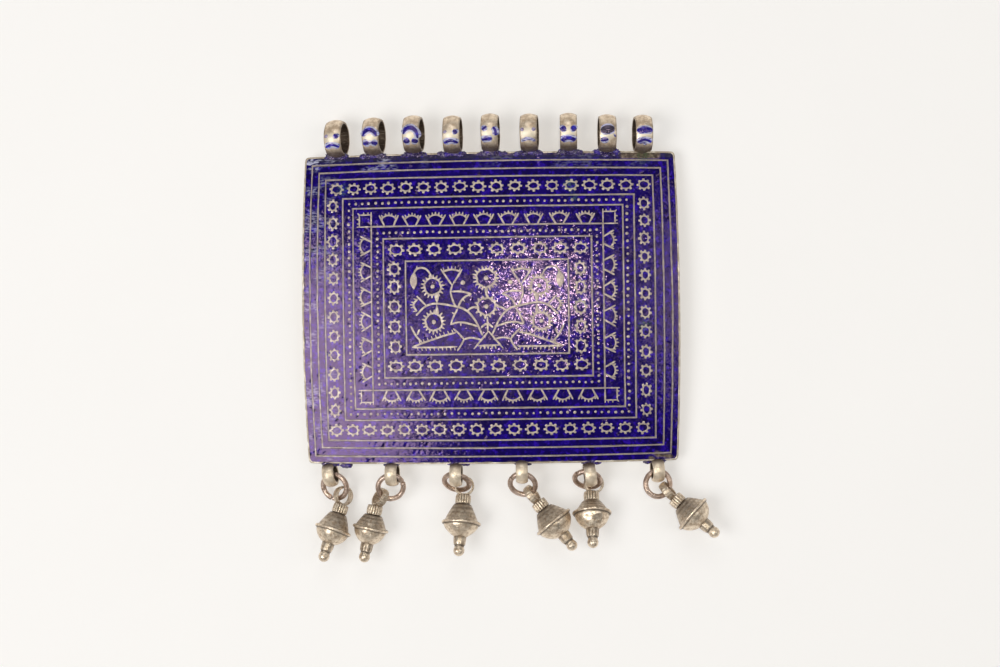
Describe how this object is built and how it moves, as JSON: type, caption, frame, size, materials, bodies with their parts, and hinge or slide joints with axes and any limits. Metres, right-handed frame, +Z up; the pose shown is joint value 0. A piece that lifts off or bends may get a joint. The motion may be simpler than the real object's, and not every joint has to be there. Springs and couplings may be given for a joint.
{
  "type": "enamel pendant",
  "caption": "Broad domed silver pendant plate with blue enamel between silver lines, a row of strip bails along its top edge, and bell-shaped drops on jump rings below.",
  "frame": {"origin": "middle of the pendant's outline in plan, on the surface that it lies on", "axes": "+X to the right along the row of bails, +Y from the drops to the bails, +Z up out of the enamelled face"},
  "size_m": [0.0986, 0.1064, 0.0119],
  "materials": {
    "plate_silver": "worn silver with brown tarnish",
    "blue_enamel": "glossy translucent blue enamel with pits and chips",
    "ring_silver": "dull silver wire, pinkish-brown",
    "drop_silver": "polished silver, tarnished in its grooves"
  },
  "bodies": {
    "root": {"plate": "plate_silver", "enamel_border_1": "blue_enamel", "enamel_border_2": "blue_enamel", "enamel_border_3": "blue_enamel", "enamel_border_4": "blue_enamel", "enamel_border_5": "blue_enamel", "enamel_border_6": "blue_enamel", "enamel_border_7": "blue_enamel", "enamel_border_8": "blue_enamel", "enamel_centre": "blue_enamel", "jump_ring_1": "ring_silver", "jump_ring_2": "ring_silver", "jump_ring_3": "ring_silver", "jump_ring_4": "ring_silver", "jump_ring_5": "ring_silver", "jump_ring_6": "ring_silver", "drop_1": "drop_silver", "drop_2": "drop_silver", "drop_3": "drop_silver", "drop_4": "drop_silver", "drop_5": "drop_silver", "drop_6": "drop_silver"}
  },
  "joints": []
}
